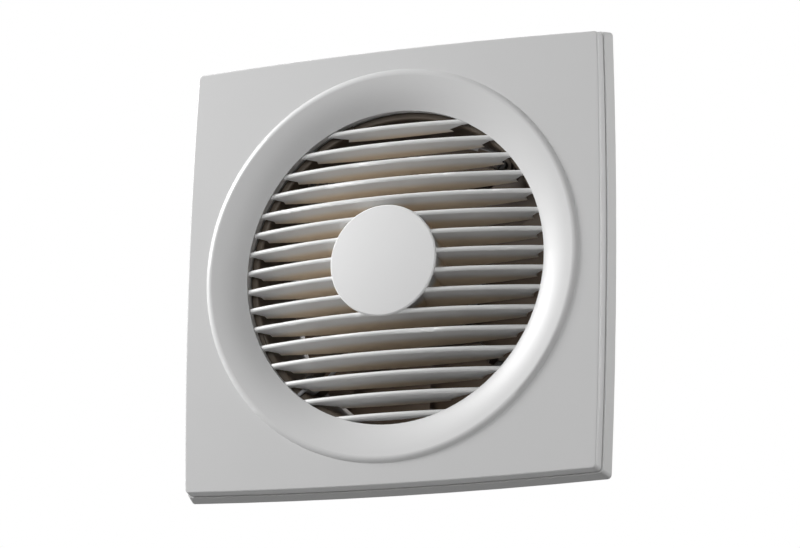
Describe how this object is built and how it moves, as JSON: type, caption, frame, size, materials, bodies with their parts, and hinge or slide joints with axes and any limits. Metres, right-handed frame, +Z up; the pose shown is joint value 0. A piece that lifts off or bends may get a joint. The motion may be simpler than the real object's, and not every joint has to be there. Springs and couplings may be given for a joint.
{
  "type": "wall exhaust fan",
  "caption": "square wall exhaust fan: bowed front cover with round funnel and domed slatted grille, base frame, wall barrel, motor on a carrier and axial impeller",
  "frame": {"origin": "on the fan's axis in the plane where the base frame meets the wall", "axes": "+Y along the fan's axis into the wall, +Z up, the room and the grille at -Y"},
  "size_m": [0.2914, 0.1221, 0.2914],
  "materials": {
    "white_plastic": "moulded, fine satin grain",
    "frame_plastic": "moulded, satin",
    "dark_plastic": "moulded, matt",
    "die_cast": "die cast",
    "steel": "zinc plated",
    "copper": "enamelled copper wire",
    "lamination": "punched sheets",
    "rubber": "matt",
    "terminal_plastic": "moulded",
    "lead_sheath": "smooth sheath"
  },
  "bodies": {
    "housing": {"base_frame": "frame_plastic", "wall_barrel": "dark_plastic", "barrel_screws": "steel", "motor_carrier": "dark_plastic", "carrier_screws": "steel", "motor_front_shield": "die_cast", "motor_rear_shield": "die_cast", "motor_bolts": "steel", "motor_nuts": "steel", "stator_core": "lamination", "stator_coils": "copper", "front_bearing_outer": "steel", "front_bearing_balls": "steel", "rear_bearing_outer": "steel", "rear_bearing_balls": "steel", "bearing_spring": "steel", "terminal_block": "terminal_plastic", "terminal_screws": "steel", "motor_lead": "lead_sheath", "lead_ties": "dark_plastic", "cable_grommet": "rubber", "lead_grommet": "rubber"},
    "front_panel": {"front_cover": "white_plastic", "inlet_grille": "white_plastic", "centre_cap": "white_plastic", "grille_screws": "steel", "cover_grip_rings": "rubber"},
    "rotor": {"rotor_shaft": "steel", "rotor_core": "lamination", "rotor_end_rings": "die_cast", "front_bearing_inner": "steel", "rear_bearing_inner": "steel", "impeller": "dark_plastic", "impeller_washer": "steel", "impeller_nut": "steel", "drive_pin": "steel"}
  },
  "joints": [
    {"name": "impeller_spin", "type": "hinge", "parent": "housing", "child": "rotor", "pos_m": [0, 0, 0], "axis": [0, 1, 0], "continuous": true},
    {"name": "cover_pull", "type": "slide", "parent": "housing", "child": "front_panel", "axis": [0, -1, 0], "range_m": [0, 0.05]}
  ]
}
